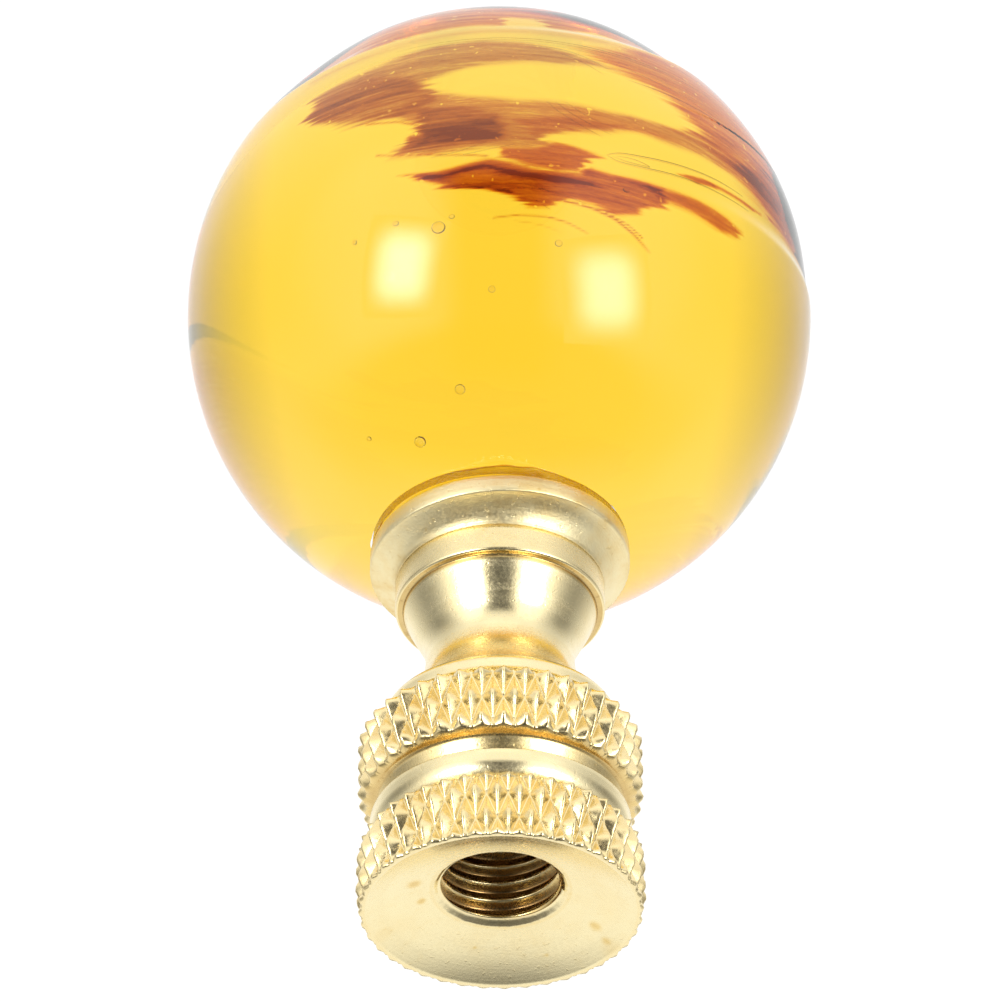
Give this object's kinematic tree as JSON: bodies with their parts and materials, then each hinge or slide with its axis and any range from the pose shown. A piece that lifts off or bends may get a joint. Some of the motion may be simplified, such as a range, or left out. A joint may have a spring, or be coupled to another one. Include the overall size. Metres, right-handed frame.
{
  "type": "lamp finial",
  "caption": "Lamp finial: solid amber glass ball on a turned brass base with diamond-knurled bands, a waisted neck and a tapped bore for a lamp harp stud.",
  "frame": {"origin": "centre of the flat foot rim of the brass base, at the bottom of the finial", "axes": "+Z along the axis from the foot to the glass ball; -Y faces the viewer's side"},
  "size_m": [0.0314, 0.0314, 0.0516],
  "materials": {
    "turned_brass": "satin lacquer",
    "cup_brass": "satin lacquer",
    "stud_brass": "as machined",
    "amber_glass": "polished",
    "clear_adhesive": "gloss"
  },
  "bodies": {
    "root": {"threaded_base": "turned_brass", "seat_cup": "cup_brass", "ball_stud": "stud_brass", "stud_adhesive": "clear_adhesive", "seat_adhesive": "clear_adhesive", "glass_ball": "amber_glass"}
  },
  "joints": []
}
